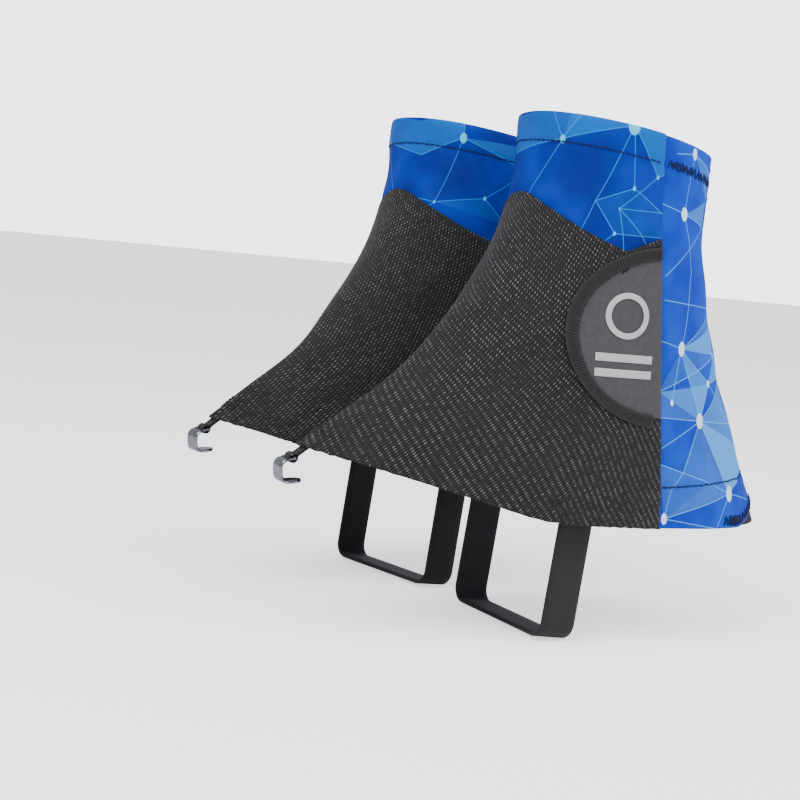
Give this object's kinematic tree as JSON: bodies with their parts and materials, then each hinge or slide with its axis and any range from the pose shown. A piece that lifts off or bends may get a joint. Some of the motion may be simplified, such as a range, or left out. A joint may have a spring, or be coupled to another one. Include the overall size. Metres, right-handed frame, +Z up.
{
  "type": "low running gaiters",
  "caption": "Pair of low running gaiters: flared ankle sleeves with a closing side flap, under-shoe straps and lace hooks.",
  "frame": {"origin": "middle of the pair's width and length, at the lowest face of the under-shoe straps", "axes": "+Z up along the legs, toes towards -Y, the wearer's left gaiter at +X"},
  "size_m": [0.1898, 0.2246, 0.208],
  "materials": {
    "woven_mesh": "matte black wear-resistant woven mesh",
    "printed_knit": "smooth printed stretch knit, blue",
    "elastic": "ribbed elastic",
    "loop_tape": "soft loop pile",
    "hook_tape": "moulded hooks",
    "patch_cloth": "smooth coated cloth",
    "overlock_thread": "dense overlock stitching",
    "silver_print": "silver grey transfer print",
    "webbing": "smooth flat webbing",
    "hook_metal": "polished dark nickel",
    "navy_thread": "navy polyester thread"
  },
  "bodies": {
    "left_shell": {"left_front_panel": "woven_mesh", "left_cuff_front": "printed_knit", "left_cuff_elastic": "elastic", "left_cuff_facing": "printed_knit", "left_hem_elastic": "elastic", "left_inner_seam_tape": "elastic", "left_back_panel": "printed_knit", "left_back_cuff_elastic": "elastic", "left_heel_elastic": "elastic", "left_loop_tape": "loop_tape", "left_strap_anchor_outer": "webbing", "left_strap_anchor_inner": "webbing", "left_hook_tab": "webbing", "left_bar_tacks": "navy_thread"},
    "left_flap": {"left_flap_panel": "woven_mesh", "left_flap_cuff": "printed_knit", "left_side_patch": "patch_cloth", "left_patch_seam": "overlock_thread", "left_patch_badge": "silver_print", "left_hook_tape": "hook_tape", "left_flap_hem_elastic": "elastic"},
    "left_strap": {"left_underfoot_strap": "webbing"},
    "left_hook": {"left_lace_hook": "hook_metal"},
    "right_shell": {"right_front_panel": "woven_mesh", "right_cuff_front": "printed_knit", "right_cuff_elastic": "elastic", "right_cuff_facing": "printed_knit", "right_hem_elastic": "elastic", "right_inner_seam_tape": "elastic", "right_back_panel": "printed_knit", "right_back_cuff_elastic": "elastic", "right_heel_elastic": "elastic", "right_loop_tape": "loop_tape", "right_strap_anchor_outer": "webbing", "right_strap_anchor_inner": "webbing", "right_hook_tab": "webbing", "right_bar_tacks": "navy_thread"},
    "right_flap": {"right_flap_panel": "woven_mesh", "right_flap_cuff": "printed_knit", "right_side_patch": "patch_cloth", "right_patch_seam": "overlock_thread", "right_patch_badge": "silver_print", "right_hook_tape": "hook_tape", "right_flap_hem_elastic": "elastic"},
    "right_strap": {"right_underfoot_strap": "webbing"},
    "right_hook": {"right_lace_hook": "hook_metal"}
  },
  "joints": [
    {"name": "left_flap_open", "type": "hinge", "parent": "left_shell", "child": "left_flap", "pos_m": [0.08393, -0.03001, 0.05], "axis": [0.0284, -0.1863, -0.9821], "range_deg": [0, 80]},
    {"name": "left_strap_swing", "type": "hinge", "parent": "left_shell", "child": "left_strap", "pos_m": [0.04793, 0.00409, 0.05], "axis": [0.9966, -0.0828, 0], "range_deg": [-40, 40]},
    {"name": "left_hook_tilt", "type": "hinge", "parent": "left_shell", "child": "left_hook", "pos_m": [0.03882, -0.10554, 0.0662], "axis": [0.9966, -0.0828, 0], "range_deg": [-60, 30]},
    {"name": "right_flap_open", "type": "hinge", "parent": "right_shell", "child": "right_flap", "pos_m": [-0.08393, -0.03001, 0.05], "axis": [0.0284, 0.1863, 0.9821], "range_deg": [0, 80]},
    {"name": "right_strap_swing", "type": "hinge", "parent": "right_shell", "child": "right_strap", "pos_m": [-0.04793, 0.00409, 0.05], "axis": [0.9966, 0.0828, 0], "range_deg": [-40, 40]},
    {"name": "right_hook_tilt", "type": "hinge", "parent": "right_shell", "child": "right_hook", "pos_m": [-0.03882, -0.10554, 0.0662], "axis": [0.9966, 0.0828, 0], "range_deg": [-60, 30]},
    {"name": "stance", "type": "slide", "parent": "left_shell", "child": "right_shell", "axis": [-1, 0, 0], "range_m": [0, 0.15]}
  ]
}
